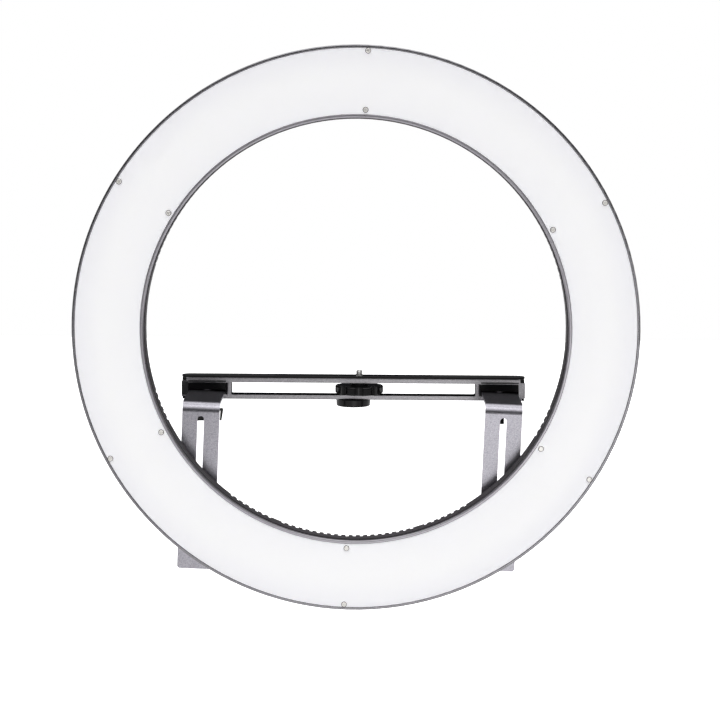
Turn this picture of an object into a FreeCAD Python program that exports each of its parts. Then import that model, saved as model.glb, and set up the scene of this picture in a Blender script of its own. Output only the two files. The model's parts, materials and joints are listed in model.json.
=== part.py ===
import FreeCAD, Part
import math
import os

# LED ring light with its camera bracket, in millimetres.
# The origin is the mouth of the stand socket under the bracket bar.
# X is to the right as seen from the front, Y runs to the back, Z is up.

Vector = FreeCAD.Vector
X_AXIS = Vector(1, 0, 0)
Y_AXIS = Vector(0, 1, 0)
Z_AXIS = Vector(0, 0, 1)
ORIGIN = Vector(0, 0, 0)

# Ring head
ring_outer_r = 250.0
ring_face_width = 63.0
rim_width = 2.6
outer_rim_height = 8.0
lip_width = 3.0
inner_rim_height = 4.2
rim_round = 1.2
ledge_width = 7.5
ledge_thickness = 1.8
ring_depth = 29.0
arm_pad_height = 1.5
shell_wall = 2.0
shell_step = 1.0
shell_round = 7.0
diffuser_thickness = 2.0
diffuser_recess = 0.4
diffuser_play = 0.2

# Screws on the ring's face
face_screw_count = 6
face_screw_r = 1.25
face_head_r = 2.1
face_head_height = 1.5
face_screw_inset_outer = 5.0
face_screw_inset_inner = 7.0
post_r = 2.2
screw_bite = 12.0
screw_hole_play = 0.25
thread_play = 0.05

# Vent notches round the back inner edge, and a rivet in the same wall
vent_pitch_deg = 2.0
vent_width = 2.8
vent_length = 4.4
vent_reach = 16.0
vent_stretches_deg = ((-34.0, 34.0), (62.0, 70.0), (106.0, 254.0), (-70.0, -62.0))
vent_gap_deg = 20.0
rivet_r = 1.0
rivet_head_r = 1.4
rivet_head_height = 0.5
rivet_depth = 13.5

# LED board inside the ring
board_thickness = 1.6
board_front = 17.0
board_play = 1.0
board_boss_r = 4.0
bottom_boss_count = 3
top_boss_count = 9
board_screw_r = 1.5
board_head_r = 2.8
board_head_height = 1.7
led_size = 5.0
led_height = 1.6
led_rows = 4
leds_per_row = 60
led_edge_gap = 5.5

# Bracket bar, a rectangular tube with windows cut through its long walls
bar_length = 318.0
bar_depth = 16.0
bar_height = 20.0
bar_wall = 2.0
bar_edge_round = 0.8
window_post = 5.1
window_sill = 4.0
window_height = 11.6
window_round = 1.0
pocket_height = 11.3
pocket_play = 0.8
pocket_groove_height = 1.3
pocket_groove_drop = 0.6
pocket_groove_depth = 1.2
pocket_bevel_width = 2.2
pocket_bevel_depth = 1.2
pocket_headroom = 0.5
top_notch_length = 4.5
top_notch_height = 3.4
bottom_notch_length = 3.0
bottom_notch_height = 2.4
cap_inset = 0.8
cap_fit = 0.1
cap_floor = 1.7
cap_back = 0.9
cap_side = 3.2
cap_end_wall = 5.9
pad_thickness = 1.8
slot_half_length = 70.0
slot_width = 7.0
pad_slot_margin = 0.5

# Stand adapter under the bar
adapter_r = 16.0
adapter_height = 6.2
adapter_round = 0.8
insert_r = 5.5
insert_rise = 2.8
socket_r = 3.175
socket_depth = 9.5
adapter_screw_r = 1.5
adapter_screw_spacing = 22.0
adapter_head_r = 2.8
adapter_head_height = 1.6
adapter_screw_floor = 1.0

# Side arms, bent steel strips
arm_width = 33.4
arm_thickness = 2.5
arm_length = 152.0
arm_reach = 80.4
arm_bend_r = 9.0
arm_tail = 4.7
arm_corner_r = 2.5
arm_slot_width = 5.9
arm_slot_top = 12.5
arm_slot_bottom = 14.5
arm_lean_deg = 2.1
arm_lift = 0.8
flange_pad_length = 28.0

# Clamp knobs that hold the arms in the bar
clamp_screw_r = 2.5
clamp_hole_play = 0.4
clamp_flange_play = 0.6
clamp_nut_flats = 8.0
clamp_nut_height = 4.0
clamp_nut_play = 0.15
clamp_nut_headroom = 0.3
clamp_screw_tip = 1.5
running_play = 0.06
wing_span = 29.4
wing_depth = 9.0
wing_height = 10.5
wing_plate = 1.4
wing_leg_top = 2.7
wing_leg_bottom = 1.7
wing_leg_taper = 1.7
wing_core_half = 10.2
wing_hub_r = 5.0
wing_neck = 10.5
wing_screw_bite = 8.0
left_wing_turn_deg = 4.0
right_wing_turn_deg = 88.0

# Camera screw with its star knob
camera_screw_x = 5.4
camera_screw_r = 3.175
camera_screw_rise = 5.0
camera_neck_r = 2.8
star_r = 22.2
star_height = 7.5
star_lobes = 9
star_scallop_r = 5.0
star_scallop_out = 2.6
star_round = 1.3
star_screw_floor = 1.2
washer_r = 7.8
washer_height = 2.0
bush_r = 5.7
bush_play = 0.075

# Ring clamps behind the arms
clamp_reach = 97.6
ring_clamp_inset = 34.2
ring_clamp_r = 2.5
clamp_block_size = 28.0
clamp_block_height = 5.0
arm_pad_half_width = 20.0
arm_pad_inset = 7.0
ring_washer_r = 8.0
ring_washer_height = 1.5
ring_knob_r = 14.0
ring_knob_height = 16.0
ring_knob_lobes = 6
ring_knob_scallop_r = 5.0
ring_knob_scallop_out = 2.4
ring_knob_round = 2.0
ring_screw_grip = 11.0

# Housings on the back of the ring
housing_width = 44.0
housing_bottom = -61.0
housing_top = 43.0
housing_depth = 20.0
housing_round = 5.0
housing_inset = 7.0
housing_wall = 2.0
housing_post_r = 3.5
housing_post_inset = 5.0
panel_inset = 1.5
panel_thickness = 1.0
panel_round = 4.0
housing_screw_r = 1.5
housing_head_r = 2.7
housing_head_height = 1.7
lead_r = 1.6
lead_circle_inset = 18.0
lead_bend_r = 6.0
lead_hole_r = 5.0
lead_quarter_turn_deg = 90.0

# Controls on the right housing
dial_r = 9.5
dial_height = 12.0
dial_skirt = 2.5
dial_gap = 0.6
dial_shaft_r = 3.0
dial_shaft_play = 0.5
dial_flutes = 20
dial_flute_r = 0.7
dimmer_z = -15.0
colour_z = -44.0
pot_size = 16.0
pot_height = 8.0
circuit_board_thickness = 1.6
display_z = 24.0
display_width = 30.0
display_height = 15.0
display_lip = 0.6
button_z = 8.0
button_r = 4.0
button_rise = 2.0
button_flange = 1.0
button_flange_height = 1.2
button_play = 0.4
button_seat_gap = 0.3
button_travel = 0.8
key_switch_size = 6.0

# Power inlet and switch on the left housing
switch_z = 22.0
switch_width = 15.0
switch_height = 21.0
switch_flange = 1.2
switch_frame = 2.0
switch_body_depth = 12.0
rocker_play = 0.35
rocker_rise = 1.6
rocker_tilt_deg = 8.0
rocker_thickness = 4.6
rocker_pin_r = 1.0
inlet_r = 4.6
inlet_flange_r = 6.2
inlet_flange = 1.5
inlet_length = 11.0
inlet_bore_r = 2.8
inlet_bore_depth = 9.0
inlet_pin_r = 1.0
power_board_bottom = -44.0
power_board_top = 4.0
capacitor_r = 4.0
capacitor_height = 5.0
coil_size = 13.0
coil_height = 5.0

# Places that follow from the sizes above
bore_r = ring_outer_r - ring_face_width
bar_bottom = adapter_height
bar_top = bar_bottom + bar_height
floor_z = bar_bottom + bar_wall
ceiling_z = bar_top - bar_wall
tube_half = bar_length / 2
sill_z = bar_bottom + window_sill
pocket_top = sill_z + pocket_height
pocket_half = arm_width / 2 + pocket_play
arm_x = tube_half - cap_end_wall - pocket_half
window_half_length = arm_x - pocket_half - window_post
flange_z = sill_z + arm_lift
lean = math.radians(arm_lean_deg)
clamp_x = arm_x * math.cos(lean)
clamp_circle_r = ring_outer_r - ring_clamp_inset
clamp_drop = math.sqrt(clamp_circle_r ** 2 - clamp_x ** 2)
clamp_angle_deg = math.degrees(math.asin(clamp_x / clamp_circle_r))
ring_rise = clamp_drop - clamp_reach
ring_y = -(arm_reach + ring_depth)
ring_z = flange_z + ring_rise
ring_x = ring_rise * math.tan(lean)
pocket_ceiling = flange_z + arm_thickness + arm_width / 2 * math.sin(lean) + pocket_headroom
shell_back = ring_depth - arm_pad_height
shell_inner_r = bore_r - shell_step
ledge_front = diffuser_recess + diffuser_thickness
ledge_back = ledge_front + ledge_thickness
rim_inner_r = ring_outer_r - rim_width
lip_outer_r = bore_r + lip_width
outer_screw_circle = ring_outer_r - face_screw_inset_outer
inner_screw_circle = bore_r + face_screw_inset_inner
board_back = board_front + board_thickness
board_inner_r = inner_screw_circle + post_r + board_play
board_outer_r = outer_screw_circle - post_r - board_play
board_screw_circle = (board_inner_r + board_outer_r) / 2
housing_back = shell_back + housing_depth
housing_x = bore_r + housing_inset + housing_width / 2
housing_inside = housing_back - housing_wall
board_face = housing_inside - pot_height
star_bottom = floor_z + 3.4
star_top = star_bottom + star_height
washer_top = star_top + washer_height
wing_top = bar_bottom - wing_neck


def box(x0, x1, y0, y1, z0, z1):
    return Part.makeBox(x1 - x0, y1 - y0, z1 - z0, Vector(x0, y0, z0))


def rod(radius, start, direction, length):
    return Part.makeCylinder(radius, length, start, direction)


def flat(u, v):
    return Vector(u, v, 0)


def side_view(u, v):
    return Vector(0, u, v)


def front_view(u, v):
    return Vector(u, 0, v)


def rounded_face(points, lift):
    """Face inside a closed outline of (u, v, corner radius) points."""
    stretches = []
    for index, (u, v, radius) in enumerate(points):
        corner = Vector(u, v, 0)
        before = Vector(points[index - 1][0], points[index - 1][1], 0) - corner
        after_point = points[(index + 1) % len(points)]
        after = Vector(after_point[0], after_point[1], 0) - corner
        before.normalize()
        after.normalize()
        if radius == 0:
            stretches.append((corner, None, corner))
            continue
        half = before.getAngle(after) / 2
        middle_way = (before + after).normalize()
        centre = corner + middle_way * (radius / math.sin(half))
        setback = radius / math.tan(half)
        stretches.append((corner + before * setback, centre - middle_way * radius, corner + after * setback))
    edges = []
    for index, (start, middle, end) in enumerate(stretches):
        if middle is not None:
            arc = Part.Arc(lift(start.x, start.y), lift(middle.x, middle.y), lift(end.x, end.y))
            edges.append(arc.toShape())
        following = stretches[(index + 1) % len(stretches)][0]
        if (following - end).Length > 1e-6:
            edges.append(Part.LineSegment(lift(end.x, end.y), lift(following.x, following.y)).toShape())
    return Part.Face(Part.Wire(edges))


def rounded_box(x0, x1, z0, z1, radius, y0, y1):
    """Block with corners rounded in the front view."""
    outline = [(x0, z0, radius), (x1, z0, radius), (x1, z1, radius), (x0, z1, radius)]
    face = rounded_face(outline, front_view)
    face.translate(Vector(0, y0, 0))
    return face.extrude(Vector(0, y1 - y0, 0))


def ring_of(outline):
    """Body of revolution about the ring's axis from (radius, depth, corner radius) points."""
    return rounded_face(outline, flat).revolve(ORIGIN, Y_AXIS, 360)


def turned(outline, axis_point=ORIGIN):
    """Body of revolution about an upright axis from (radius, height, corner radius) points."""
    shape = rounded_face(outline, front_view).revolve(ORIGIN, Z_AXIS, 360)
    shape.translate(axis_point)
    return shape


def around(shape, angle_deg):
    """Copy of a shape turned clockwise, as seen from the front, about the ring's axis."""
    copy = shape.copy()
    copy.rotate(ORIGIN, Y_AXIS, angle_deg)
    return copy


def to_head(shape):
    """Move a shape from the ring's own frame to its place on the leaning arms."""
    shape.rotate(ORIGIN, Y_AXIS, arm_lean_deg)
    shape.translate(Vector(ring_x, ring_y, ring_z))
    return shape


def to_arm(shape, side):
    """Move a shape from an arm's own frame to its flange in the bar."""
    shape.rotate(ORIGIN, Y_AXIS, arm_lean_deg)
    shape.translate(Vector(side * arm_x, 0, flange_z))
    return shape


def mirrored(shape):
    return shape.mirror(ORIGIN, X_AXIS)


def save(name, shape):
    shape.exportStep("parts/" + name + ".step")


def on_circle(radius, angle_deg, depth):
    """Point on a circle about the ring's axis; zero degrees is the top, clockwise from the front."""
    angle = math.radians(angle_deg)
    return Vector(radius * math.sin(angle), depth, radius * math.cos(angle))


def face_screw_angles():
    return [360.0 * index / face_screw_count for index in range(face_screw_count)]


# Ring head, front
def outer_rim():
    outline = [
        (rim_inner_r - ledge_width, ledge_front, 0),
        (rim_inner_r, ledge_front, 0),
        (rim_inner_r, 0, rim_round / 2),
        (ring_outer_r, 0, rim_round),
        (ring_outer_r, outer_rim_height, 0),
        (rim_inner_r, outer_rim_height, 0),
        (rim_inner_r, ledge_back, 0),
        (rim_inner_r - ledge_width, ledge_back, 0),
    ]
    return drill_ledge(ring_of(outline), outer_screw_circle)


def inner_rim():
    outline = [
        (bore_r, 0, rim_round),
        (lip_outer_r, 0, rim_round / 2),
        (lip_outer_r, ledge_front, 0),
        (lip_outer_r + ledge_width, ledge_front, 0),
        (lip_outer_r + ledge_width, inner_rim_height, 0),
        (bore_r, inner_rim_height, 0),
    ]
    return drill_ledge(ring_of(outline), inner_screw_circle)


def drill_ledge(shape, circle_r):
    holes = []
    for angle in face_screw_angles():
        start = on_circle(circle_r, angle, 0)
        holes.append(rod(face_screw_r + screw_hole_play, start, Y_AXIS, ring_depth / 2))
    return shape.cut(holes)


def diffuser():
    outline = [
        (lip_outer_r + diffuser_play, diffuser_recess, 0),
        (rim_inner_r - diffuser_play, diffuser_recess, 0),
        (rim_inner_r - diffuser_play, ledge_front, 0),
        (lip_outer_r + diffuser_play, ledge_front, 0),
    ]
    shape = drill_ledge(ring_of(outline), outer_screw_circle)
    return drill_ledge(shape, inner_screw_circle)


def face_screws(circle_r, seat_depth):
    """Pan head screws with a cross recess, one for each post on a circle."""
    front = diffuser_recess - face_head_height
    outline = [
        (0, front, 0),
        (face_head_r, front, face_head_height / 2),
        (face_head_r, diffuser_recess, 0),
        (face_screw_r, diffuser_recess, 0),
        (face_screw_r, seat_depth + screw_bite, 0),
        (0, seat_depth + screw_bite, 0),
    ]
    slot_long = face_head_r * 0.6
    slot_wide = face_head_r * 0.14
    slot_back = front + face_head_height / 2
    screw = ring_of(outline)
    screw = screw.cut(box(-slot_long, slot_long, front - 1, slot_back, -slot_wide, slot_wide))
    screw = screw.cut(box(-slot_wide, slot_wide, front - 1, slot_back, -slot_long, slot_long))
    screws = []
    for angle in face_screw_angles():
        copy = screw.copy()
        copy.rotate(ORIGIN, Y_AXIS, 27.0 + angle)
        copy.translate(on_circle(circle_r, angle, 0))
        screws.append(copy)
    return Part.makeCompound(screws)


# Ring head, back shell
def vent_angles():
    """Angles of the vent notches from the bottom of the ring."""
    angles = []
    for first, last in vent_stretches_deg:
        count = int(round((last - first) / vent_pitch_deg)) + 1
        for index in range(count):
            angle = first + index * vent_pitch_deg
            if abs(abs(angle) - vent_gap_deg) > vent_pitch_deg / 4:
                angles.append(angle)
    return angles


def arm_pads():
    """Smooth raised pads on the back shell that the arms lie against."""
    ring_band = ring_of([
        (shell_inner_r + arm_pad_inset, shell_back - shell_wall / 2, 0),
        (ring_outer_r - arm_pad_inset, shell_back - shell_wall / 2, 0),
        (ring_outer_r - arm_pad_inset, ring_depth, 0),
        (shell_inner_r + arm_pad_inset, ring_depth, 0),
    ])
    pads = []
    for side in (-1, 1):
        centre = side * clamp_x
        strip = box(centre - arm_pad_half_width, centre + arm_pad_half_width, 0, ring_depth, -ring_outer_r, 0)
        pads.append(ring_band.common(strip))
    return pads


def rear_shell():
    outline = [
        (shell_inner_r, inner_rim_height, 0),
        (shell_inner_r, shell_back, shell_round),
        (ring_outer_r, shell_back, shell_round),
        (ring_outer_r, outer_rim_height, 0),
        (ring_outer_r - shell_wall, outer_rim_height, 0),
        (ring_outer_r - shell_wall, shell_back - shell_wall, shell_round - shell_wall),
        (shell_inner_r + shell_wall, shell_back - shell_wall, shell_round - shell_wall),
        (shell_inner_r + shell_wall, inner_rim_height, 0),
    ]
    shape = ring_of(outline)
    additions = arm_pads()
    into_plate = shell_back - shell_wall * 0.75
    for angle in face_screw_angles():
        for circle_r, top in ((outer_screw_circle, ledge_back), (inner_screw_circle, inner_rim_height)):
            start = on_circle(circle_r, angle, top)
            additions.append(rod(post_r, start, Y_AXIS, into_plate - top))
    for angle in board_boss_angles():
        start = on_circle(board_screw_circle, angle, board_back)
        additions.append(rod(board_boss_r, start, Y_AXIS, into_plate - board_back))
    shape = shape.fuse(additions)
    cuts = []
    for angle in face_screw_angles():
        for circle_r, top in ((outer_screw_circle, ledge_back), (inner_screw_circle, inner_rim_height)):
            start = on_circle(circle_r, angle, top)
            cuts.append(rod(face_screw_r + thread_play, start, Y_AXIS, screw_bite + 1))
    for angle in board_boss_angles():
        start = on_circle(board_screw_circle, angle, board_back)
        cuts.append(rod(board_screw_r + thread_play, start, Y_AXIS, shell_back - shell_wall - board_back))
    for side in (-1, 1):
        start = Vector(side * clamp_x, shell_back - shell_wall - 1, -clamp_drop)
        cuts.append(rod(ring_clamp_r + clamp_hole_play, start, Y_AXIS, ring_depth))
        lead_start = Vector(side * lead_circle_r(), shell_back - shell_wall - 1, 0)
        cuts.append(rod(lead_hole_r, lead_start, Y_AXIS, ring_depth))
    notch = box(
        -vent_width / 2, vent_width / 2, vent_reach, ring_depth,
        -shell_inner_r - vent_length, -shell_inner_r + shell_step,
    )
    for angle in vent_angles():
        cuts.append(around(notch, angle))
    for side in (-1, 1):
        for x, z in housing_corners(side):
            start = Vector(x, shell_back - shell_wall - 1, z)
            cuts.append(rod(housing_screw_r + thread_play, start, Y_AXIS, ring_depth))
    cuts.append(rod(rivet_r, on_circle(shell_inner_r - 1, 180, rivet_depth), -Z_AXIS, shell_wall + 2))
    return shape.cut(cuts)


def wall_rivet():
    """Small rivet through the shell's inner wall at the bottom of the ring."""
    start = on_circle(shell_inner_r - rivet_head_height, 180, rivet_depth)
    head = rod(rivet_head_r, start, -Z_AXIS, rivet_head_height)
    head = head.makeFillet(rivet_head_height * 0.6, [head.Edges[2]])
    tail_start = on_circle(shell_inner_r + shell_wall, 180, rivet_depth)
    tail = rod(rivet_head_r, tail_start, -Z_AXIS, rivet_head_height)
    shank = rod(rivet_r, start, -Z_AXIS, shell_wall + rivet_head_height)
    return head.fuse([shank, tail])


# LED board and what sits on it
def board_boss_angles():
    """Angles of the board's bosses, even over the bottom and the top arc between the two arm clamps."""
    bottom_span = 2 * clamp_angle_deg
    top_span = 360 - bottom_span
    angles = []
    for count, span, middle in ((bottom_boss_count, bottom_span, 180), (top_boss_count, top_span, 0)):
        for index in range(count):
            angles.append(middle + span * ((index + 0.5) / count - 0.5))
    return angles


def led_board():
    outline = [
        (board_inner_r, board_front, 0),
        (board_outer_r, board_front, 0),
        (board_outer_r, board_back, 0),
        (board_inner_r, board_back, 0),
    ]
    holes = []
    for angle in board_boss_angles():
        start = on_circle(board_screw_circle, angle, 0)
        holes.append(rod(board_screw_r + screw_hole_play, start, Y_AXIS, ring_depth))
    return ring_of(outline).cut(holes)


def board_screws():
    screws = []
    for angle in board_boss_angles():
        seat = on_circle(board_screw_circle, angle, board_front)
        head = rod(board_head_r, seat - Y_AXIS * board_head_height, Y_AXIS, board_head_height)
        shank = rod(board_screw_r, seat, Y_AXIS, board_thickness + shell_wall * 2)
        screws.append(head.fuse(shank))
    return Part.makeCompound(screws)


def leds():
    chip = box(
        -led_size / 2, led_size / 2, board_front - led_height, board_front,
        -led_size / 2, led_size / 2,
    )
    inner = board_inner_r + led_edge_gap
    outer = board_outer_r - led_edge_gap
    chips = []
    for row in range(led_rows):
        radius = inner + (outer - inner) * row / (led_rows - 1)
        for index in range(leds_per_row):
            angle = 360.0 * (index + 0.5) / leds_per_row
            copy = chip.copy()
            copy.translate(Vector(0, 0, radius))
            chips.append(around(copy, angle))
    return Part.makeCompound(chips)


# Ring clamps
def clamp_blocks():
    """Threaded plates inside the shell that take the ring clamp screws."""
    blocks = []
    half = clamp_block_size / 2
    back = shell_back - shell_wall
    for side in (-1, 1):
        x = side * clamp_x
        block = rounded_box(
            x - half, x + half, -clamp_drop - half, -clamp_drop + half, 2.0,
            back - clamp_block_height, back,
        )
        start = Vector(x, 0, -clamp_drop)
        blocks.append(block.cut(rod(ring_clamp_r + running_play, start, Y_AXIS, ring_depth)))
    return Part.makeCompound(blocks)


def ring_clamp_axis(side, depth):
    return Vector(side * clamp_x, depth, -clamp_drop)


def ring_washers():
    washers = []
    seat = ring_depth + arm_thickness
    for side in (-1, 1):
        start = ring_clamp_axis(side, seat)
        disc = rod(ring_washer_r, start, Y_AXIS, ring_washer_height)
        washers.append(disc.cut(rod(ring_clamp_r + clamp_hole_play, start, Y_AXIS, ring_washer_height)))
    return Part.makeCompound(washers)


def ring_clamp_screw(side):
    start_depth = shell_back - shell_wall - clamp_block_height
    end_depth = ring_depth + arm_thickness + ring_washer_height + ring_screw_grip
    return rod(ring_clamp_r, ring_clamp_axis(side, start_depth), Y_AXIS, end_depth - start_depth)


def ring_clamp_knob(side):
    seat = ring_depth + arm_thickness + ring_washer_height
    outline = [
        (0, 0, 0),
        (ring_washer_r, 0, 0),
        (ring_washer_r, 3.0, 0),
        (ring_knob_r, 3.0, ring_knob_round / 2),
        (ring_knob_r, ring_knob_height, ring_knob_round),
        (0, ring_knob_height, 0),
    ]
    knob = ring_of(outline)
    cuts = scallops(
        ring_knob_lobes, ring_knob_r, ring_knob_scallop_r, ring_knob_scallop_out, Y_AXIS, ring_knob_height,
    )
    cuts.append(rod(ring_clamp_r, ORIGIN, Y_AXIS, ring_screw_grip))
    knob = knob.cut(cuts)
    knob.translate(ring_clamp_axis(side, seat))
    return knob


def scallops(count, knob_r, cutter_r, out, axis, height):
    """Round cutters spread about an axis that leave a knob with lobes."""
    cutters = []
    for index in range(count):
        angle = 2 * math.pi * (index + 0.5) / count
        reach = knob_r + out
        if axis is Y_AXIS:
            centre = Vector(reach * math.cos(angle), 0, reach * math.sin(angle))
        else:
            centre = Vector(reach * math.cos(angle), reach * math.sin(angle), 0)
        cutters.append(rod(cutter_r, centre, axis, height))
    return cutters


# Housings on the back of the ring
def lead_circle_r():
    return bore_r + lead_circle_inset


def housing_corners(side):
    """Places of a housing's four screws."""
    places = []
    for along in (-1, 1):
        for z in (housing_bottom + housing_post_inset, housing_top - housing_post_inset):
            x = side * housing_x + along * (housing_width / 2 - housing_post_inset)
            places.append((x, z))
    return places


def housing(side, openings):
    """Box open towards the shell, with screw posts in its corners."""
    x0 = side * housing_x - housing_width / 2
    x1 = side * housing_x + housing_width / 2
    shape = rounded_box(x0, x1, housing_bottom, housing_top, housing_round, shell_back, housing_back)
    rear_edges = []
    for edge in shape.Edges:
        if abs(edge.CenterOfMass.y - housing_back) < 1e-3:
            rear_edges.append(edge)
    shape = shape.makeFillet(housing_wall * 0.75, rear_edges)
    inside = rounded_box(
        x0 + housing_wall, x1 - housing_wall, housing_bottom + housing_wall, housing_top - housing_wall,
        housing_round - housing_wall, shell_back, housing_inside,
    )
    posts = []
    holes = []
    for x, z in housing_corners(side):
        posts.append(rod(housing_post_r, Vector(x, shell_back, z), Y_AXIS, housing_depth - housing_wall / 2))
        holes.append(rod(housing_screw_r + screw_hole_play, Vector(x, shell_back, z), Y_AXIS, housing_depth))
    return shape.cut(inside).fuse(posts).cut(holes + openings)


def housing_screws(side):
    screws = []
    for x, z in housing_corners(side):
        head = rod(housing_head_r, Vector(x, housing_back, z), Y_AXIS, housing_head_height)
        head = head.makeFillet(housing_head_height / 2, [head.Edges[0]])
        slot_back = housing_back + housing_head_height
        slot = housing_head_r * 0.62
        thin = housing_head_r * 0.14
        head = head.cut(box(x - slot, x + slot, slot_back - 0.8, slot_back + 1, z - thin, z + thin))
        head = head.cut(box(x - thin, x + thin, slot_back - 0.8, slot_back + 1, z - slot, z + slot))
        length = housing_depth + shell_wall
        shank = rod(housing_screw_r, Vector(x, housing_back - length, z), Y_AXIS, length)
        screws.append(head.fuse(shank))
    return screws


def all_housing_screws():
    return Part.makeCompound(housing_screws(-1) + housing_screws(1))


def panel(side, openings):
    """Thin face plate between the screw posts of a housing."""
    half = housing_width / 2 - housing_post_inset - housing_head_r - panel_inset
    inner_bottom = housing_bottom + housing_round
    inner_top = housing_top - housing_round
    x = side * housing_x
    wide = housing_width / 2 - panel_inset
    low = housing_bottom + housing_post_inset + housing_head_r + panel_inset
    high = housing_top - housing_post_inset - housing_head_r - panel_inset
    face = housing_back + panel_thickness
    middle = rounded_box(x - wide, x + wide, low, high, panel_round / 2, housing_back, face)
    tall = box(x - half, x + half, housing_back, face, inner_bottom, inner_top)
    return middle.fuse(tall).removeSplitter().cut(openings)


def dial_hole(z):
    start = Vector(housing_x, housing_inside - 1, z)
    return rod(dial_shaft_r + dial_shaft_play, start, Y_AXIS, housing_depth)


def display_hole():
    half_w = display_width / 2 - display_lip
    half_h = display_height / 2 - display_lip
    return box(
        housing_x - half_w, housing_x + half_w, housing_inside - 1, housing_back + 5,
        display_z - half_h, display_z + half_h,
    )


def button_hole():
    start = Vector(housing_x, housing_inside - 1, button_z)
    return rod(button_r + button_play, start, Y_AXIS, housing_depth)


def control_openings():
    return [dial_hole(dimmer_z), dial_hole(colour_z), display_hole(), button_hole()]


def control_housing():
    return housing(1, control_openings())


def control_panel():
    openings = [dial_hole(dimmer_z), dial_hole(colour_z), button_hole()]
    openings.append(rounded_box(
        housing_x - display_width / 2, housing_x + display_width / 2,
        display_z - display_height / 2, display_z + display_height / 2, 1.0,
        housing_back, housing_back + panel_thickness,
    ))
    return panel(1, openings)


def display_window():
    return rounded_box(
        housing_x - display_width / 2 + 0.1, housing_x + display_width / 2 - 0.1,
        display_z - display_height / 2 + 0.1, display_z + display_height / 2 - 0.1, 0.9,
        housing_back, housing_back + panel_thickness - 0.2,
    )


def display_module():
    half_w = display_width / 2 - display_lip - 0.3
    half_h = display_height / 2 - display_lip - 0.3
    return box(
        housing_x - half_w, housing_x + half_w, board_face, housing_back - 0.3,
        display_z - half_h, display_z + half_h,
    )


def control_board():
    half = housing_width / 2 - housing_wall - 1
    shape = box(
        housing_x - half, housing_x + half, board_face - circuit_board_thickness, board_face,
        housing_bottom + housing_wall + 1, housing_top - housing_wall - 1,
    )
    gaps = []
    for x, z in housing_corners(1):
        gaps.append(rod(housing_post_r + 0.5, Vector(x, shell_back, z), Y_AXIS, housing_depth))
    return shape.cut(gaps)


def dial_pots():
    half = pot_size / 2
    pots = []
    for z in (dimmer_z, colour_z):
        body = box(housing_x - half, housing_x + half, board_face, housing_inside, z - half, z + half)
        start = Vector(housing_x, board_face + 1, z)
        pots.append(body.cut(rod(dial_shaft_r + running_play, start, Y_AXIS, pot_height)))
    return Part.makeCompound(pots)


def key_switch():
    half = key_switch_size / 2
    top = housing_inside - button_seat_gap - button_flange_height - button_travel - 0.1
    return box(housing_x - half, housing_x + half, board_face, top, button_z - half, button_z + half)


def mode_button():
    cap_back = housing_back + panel_thickness + button_rise
    flange_top = housing_inside - button_seat_gap
    start = Vector(housing_x, flange_top - button_flange_height, button_z)
    flange_disc = rod(button_r + button_flange, start, Y_AXIS, button_flange_height)
    cap = rod(button_r, start, Y_AXIS, cap_back - start.y)
    rim = [edge for edge in cap.Edges if abs(edge.CenterOfMass.y - cap_back) < 1e-3]
    return cap.makeFillet(0.6, rim).fuse(flange_disc)


def dial(z):
    """Fluted control knob with a pointer groove."""
    seat = housing_back + panel_thickness + dial_gap
    outline = [
        (0, 0, 0),
        (dial_r + 1.0, 0, 0),
        (dial_r + 1.0, dial_skirt, 0.8),
        (dial_r, dial_skirt, 0),
        (dial_r - 0.8, dial_height, 1.2),
        (0, dial_height, 0),
    ]
    knob = ring_of(outline)
    cuts = []
    for index in range(dial_flutes):
        angle = 2 * math.pi * index / dial_flutes
        centre = Vector((dial_r + 0.1) * math.cos(angle), dial_skirt, (dial_r + 0.1) * math.sin(angle))
        cuts.append(rod(dial_flute_r, centre, Y_AXIS, dial_height))
    cuts.append(box(-0.5, 0.5, dial_height - 0.6, dial_height + 1, dial_r * 0.3, dial_r))
    cuts.append(rod(dial_shaft_r, ORIGIN, Y_AXIS, dial_height - 3))
    knob = knob.cut(cuts)
    knob.translate(Vector(housing_x, seat, z))
    return knob


def dial_shaft(z):
    end = housing_back + panel_thickness + dial_gap + dial_height - 3
    start = board_face + 1
    return rod(dial_shaft_r, Vector(housing_x, start, z), Y_AXIS, end - start)


# Power housing
def switch_box(grow, y0, y1):
    half_w = switch_width / 2 - switch_frame + grow
    half_h = switch_height / 2 - switch_frame + grow
    return box(-housing_x - half_w, -housing_x + half_w, y0, y1, switch_z - half_h, switch_z + half_h)


def inlet_start():
    return Vector(-housing_x, (shell_back + housing_inside) / 2, housing_bottom)


def power_housing():
    openings = [switch_box(0.2, housing_inside - 1, housing_back + 5)]
    openings.append(rod(inlet_r + screw_hole_play, inlet_start() - Z_AXIS, Z_AXIS, housing_wall + 2))
    shape = housing(-1, openings)
    posts = []
    for z in (power_board_bottom + 4, power_board_top - 4):
        start = Vector(-housing_x, board_face, z)
        posts.append(rod(housing_post_r, start, Y_AXIS, housing_inside + housing_wall / 2 - board_face))
    return shape.fuse(posts)


def power_panel():
    half_w = switch_width / 2 + 0.3
    half_h = switch_height / 2 + 0.3
    opening = rounded_box(
        -housing_x - half_w, -housing_x + half_w, switch_z - half_h, switch_z + half_h, 1.3,
        housing_back, housing_back + panel_thickness,
    )
    return panel(-1, [opening])


def switch_bezel():
    """Switch body with its flange, hollow where the rocker turns."""
    half_w = switch_width / 2
    half_h = switch_height / 2
    flange_back = housing_back + switch_flange
    flange_plate = rounded_box(
        -housing_x - half_w, -housing_x + half_w, switch_z - half_h, switch_z + half_h, 1.0,
        housing_back, flange_back,
    )
    shape = flange_plate.fuse(switch_box(0, housing_back - switch_body_depth, housing_back))
    hollow = switch_box(-1.0, housing_back - rocker_thickness - 2.4, flange_back + 1)
    return shape.removeSplitter().cut(hollow)


def rocker_axis():
    return Vector(-housing_x, housing_back - rocker_thickness / 2, switch_z)


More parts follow.
